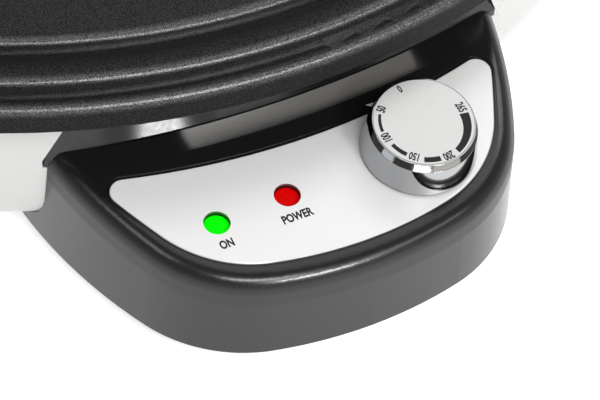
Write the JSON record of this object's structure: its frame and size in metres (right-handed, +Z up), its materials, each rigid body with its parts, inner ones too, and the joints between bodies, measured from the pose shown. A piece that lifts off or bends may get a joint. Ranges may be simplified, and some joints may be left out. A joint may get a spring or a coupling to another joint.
{
  "type": "electric crepe maker",
  "caption": "Round countertop crepe maker: a flat stepped cooking plate over a shallow white pan, with a black control box in front that holds indicator lamps and a heat knob.",
  "frame": {"origin": "middle of the bounding box in plan, on the table under the rubber feet", "axes": "+Z up, -Y towards the control housing and the user, +X to the right of someone who faces the controls"},
  "size_m": [0.3648, 0.4019, 0.0672],
  "materials": {
    "nonstick_plate": "speckled non-stick coat",
    "element_steel": "dull sheath",
    "ceramic_bead": "matt",
    "zinc_steel": "zinc plated",
    "shield_steel": "aluminised sheet",
    "copper": "drawn",
    "fuse_body": "matt",
    "white_paint": "gloss enamel",
    "foot_rubber": "matt",
    "bush_plastic": "moulded",
    "black_plastic": "polished",
    "cover_plastic": "moulded",
    "panel_aluminium": "fine brushed",
    "green_lens": "translucent",
    "red_lens": "translucent",
    "neon_glass": "clear",
    "holder_plastic": "moulded",
    "thermostat_plastic": "moulded",
    "plated_brass": "nickel plated",
    "shaft_steel": "turned",
    "chrome": "polished",
    "satin_face": "satin",
    "terminal_plastic": "moulded",
    "brown_wire": "sleeve",
    "blue_wire": "sleeve",
    "earth_wire": "sleeve",
    "white_wire": "sleeve"
  },
  "bodies": {
    "body": {"cooking_plate": "nonstick_plate", "heating_element": "element_steel", "element_pins": "element_steel", "element_beads": "ceramic_bead", "element_clamps": "zinc_steel", "element_clamp_screws": "zinc_steel", "lower_spacers": "zinc_steel", "upper_spacers": "zinc_steel", "plate_screws": "zinc_steel", "sensor_clip": "zinc_steel", "sensor_clip_screws": "zinc_steel", "fuse_clip": "zinc_steel", "fuse_clip_screw": "zinc_steel", "foot_screws": "zinc_steel", "foot_nuts": "zinc_steel", "housing_cover_screws": "zinc_steel", "housing_screws": "zinc_steel", "lamp_holder_screws": "zinc_steel", "terminal_screws": "zinc_steel", "block_screws": "zinc_steel", "earth_screw": "zinc_steel", "heat_shield": "shield_steel", "sensor_bulb": "copper", "capillary_tube": "copper", "thermal_fuse": "fuse_body", "base_pan": "white_paint", "rubber_feet": "foot_rubber", "cord_bush": "bush_plastic", "control_housing": "black_plastic", "housing_cover": "cover_plastic", "control_panel": "panel_aluminium", "indicator_lens_green": "green_lens", "indicator_lens_red": "red_lens", "neon_lamps": "neon_glass", "lamp_holder": "holder_plastic", "thermostat_body": "thermostat_plastic", "thermostat_bushing": "plated_brass", "thermostat_nut": "plated_brass", "tab_connectors": "plated_brass", "pin_connectors": "plated_brass", "earth_tag": "plated_brass", "terminal_block": "terminal_plastic", "live_wire": "brown_wire", "heater_wire": "brown_wire", "neutral_wire": "blue_wire", "return_wire": "blue_wire", "earth_wire": "earth_wire", "lamp_leads": "white_wire"},
    "knob": {"thermostat_shaft": "shaft_steel", "control_knob": "chrome", "knob_spring": "shaft_steel", "knob_face": "satin_face"}
  },
  "joints": [
    {"name": "knob_turn", "type": "hinge", "parent": "body", "child": "knob", "pos_m": [0.0233, -0.17545, 0.03309], "axis": [0, -0.1045, 0.9945], "range_deg": [-266, 0]}
  ]
}
